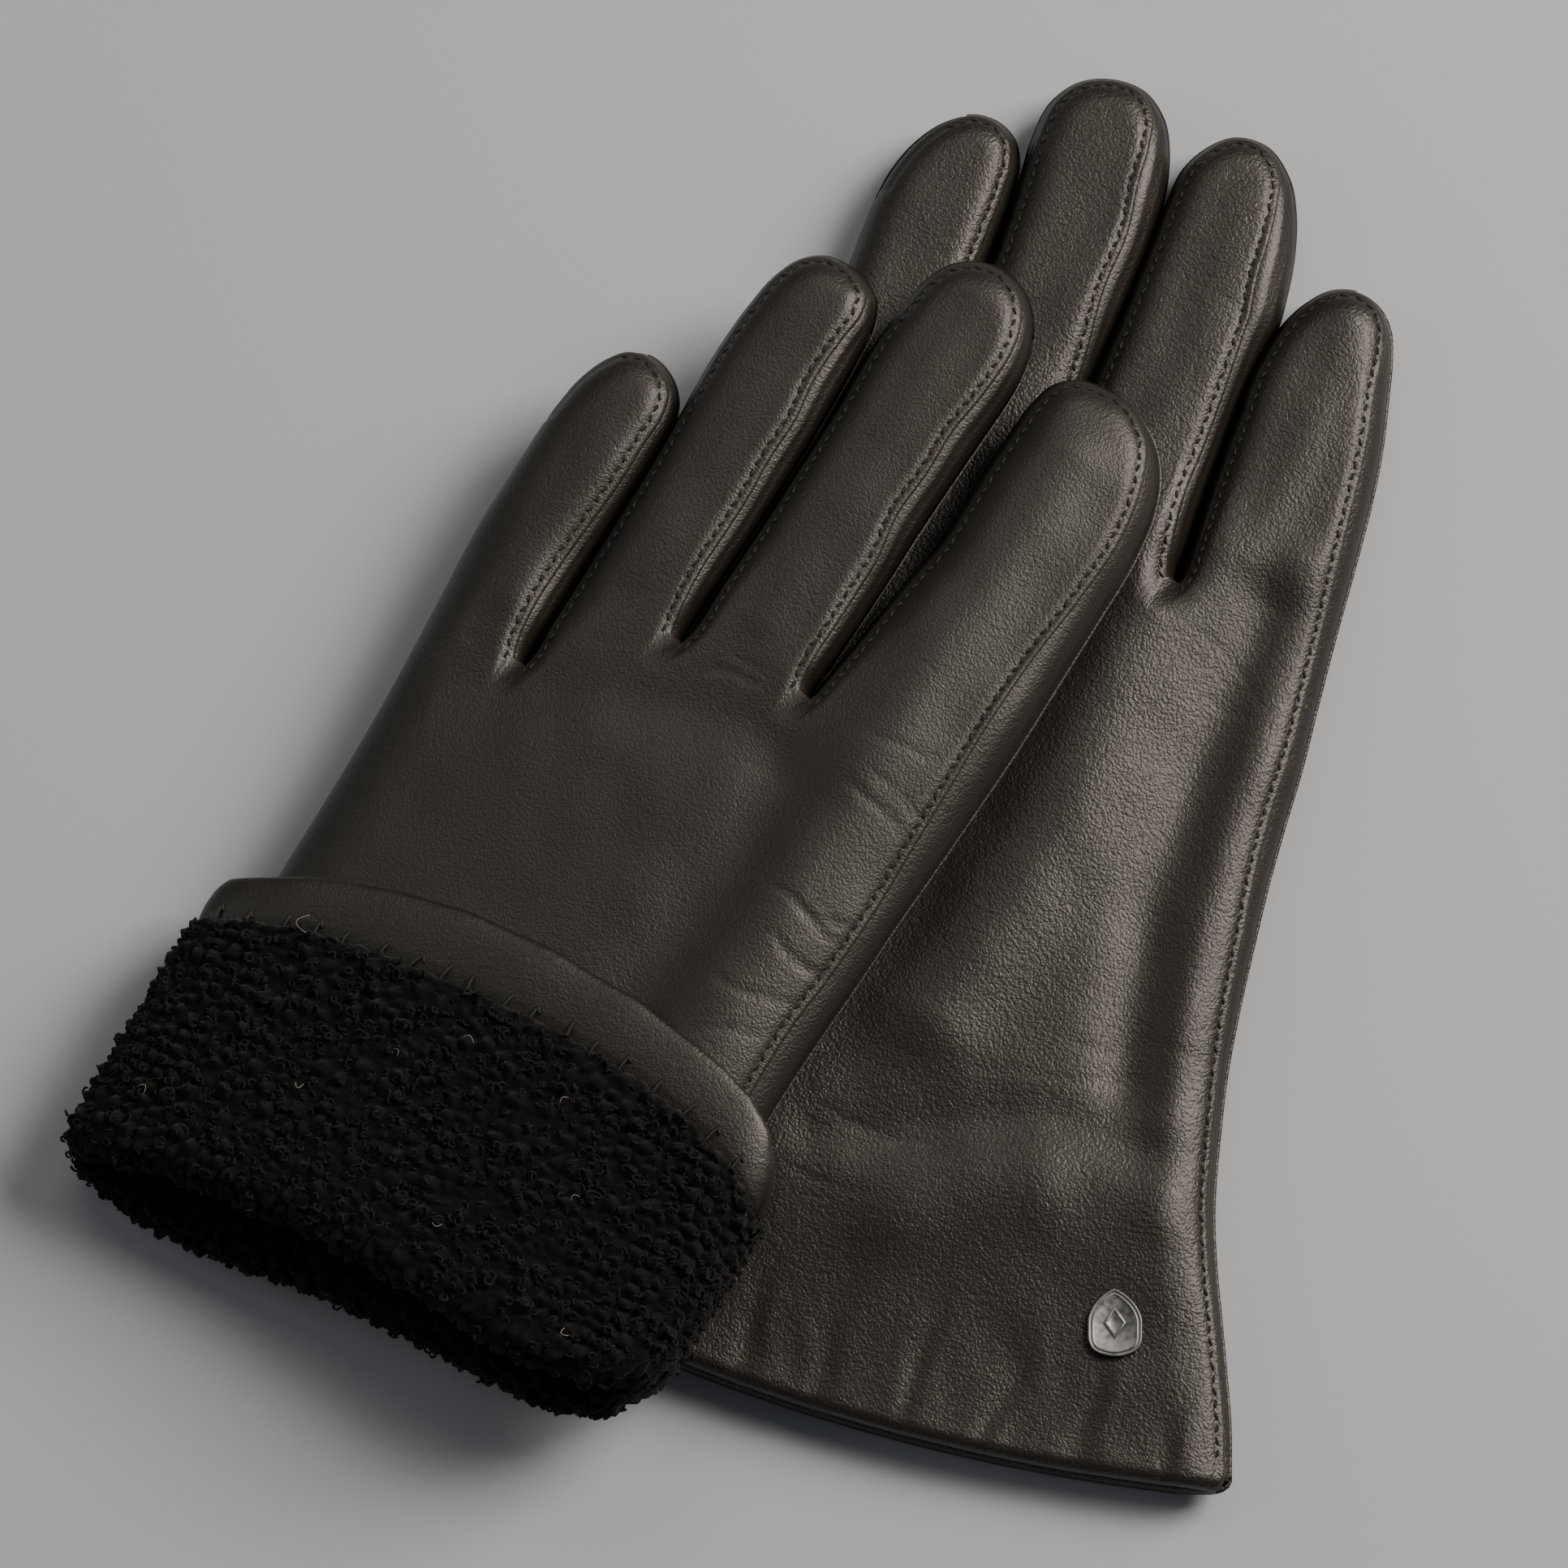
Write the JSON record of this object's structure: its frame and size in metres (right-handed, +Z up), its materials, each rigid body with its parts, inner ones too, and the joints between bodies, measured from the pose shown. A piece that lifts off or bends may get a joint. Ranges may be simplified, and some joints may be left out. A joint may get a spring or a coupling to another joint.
{
  "type": "leather gloves",
  "caption": "Pair of lined leather dress gloves lying crosswise, backs up, the upper one with its cuff turned back to show a curly pile lining, the lower one with a small metal badge.",
  "frame": {"origin": "bottom centre of the box around the pair", "axes": "+Z up from the table, +Y towards the finger tips, +X towards the little finger of the right glove"},
  "size_m": [0.2381, 0.2526, 0.0405],
  "materials": {
    "glove_leather": "satin nappa, near-black brown",
    "side_leather": "satin nappa, near-black brown",
    "hem_leather": "satin nappa, near-black brown",
    "turned_pile": "curly loop pile, black",
    "lining": "curly loop pile, black",
    "thread": "twisted sewing thread, black",
    "badge_metal": "aged nickel, brushed",
    "clinch_metal": "plain stamped steel"
  },
  "bodies": {
    "right_glove": {"badge_clinch_plate": "clinch_metal", "badge_plate": "badge_metal", "right_back_leather": "glove_leather", "right_back_lining": "lining", "right_finger_stitches": "thread", "right_fourchette_index_middle": "side_leather", "right_fourchette_middle_ring": "side_leather", "right_fourchette_ring_little": "side_leather", "right_hem_facing": "hem_leather", "right_palm_leather": "glove_leather", "right_palm_lining": "lining", "right_side_stitches": "thread", "right_thumb_leather": "glove_leather", "right_thumb_lining": "lining"},
    "left_hand": {"left_cuff_hem_facing": "hem_leather", "left_cuff_leather": "glove_leather", "left_cuff_overcast_stitches": "thread", "left_cuff_pile": "turned_pile", "left_hand_back_leather": "glove_leather", "left_hand_back_lining": "lining", "left_hand_palm_leather": "glove_leather", "left_hand_palm_lining": "lining", "left_hand_side_stitches": "thread", "left_thumb_leather": "glove_leather", "left_thumb_lining": "lining"},
    "left_fingers": {"left_finger_side_stitches": "thread", "left_finger_stitches": "thread", "left_fingers_back_leather": "glove_leather", "left_fingers_back_lining": "lining", "left_fingers_palm_leather": "glove_leather", "left_fingers_palm_lining": "lining", "left_fourchette_little_ring": "side_leather", "left_fourchette_middle_index": "side_leather", "left_fourchette_ring_middle": "side_leather"}
  },
  "joints": [
    {"name": "left_glove_lift", "type": "slide", "parent": "right_glove", "child": "left_hand", "axis": [0, 0, 1], "range_m": [0, 0.12]},
    {"name": "left_knuckle_bend", "type": "hinge", "parent": "left_hand", "child": "left_fingers", "pos_m": [-0.0181, -0.00662, 0.02928], "axis": [0.8554, -0.4959, 0.1494], "range_deg": [0, 60]}
  ]
}
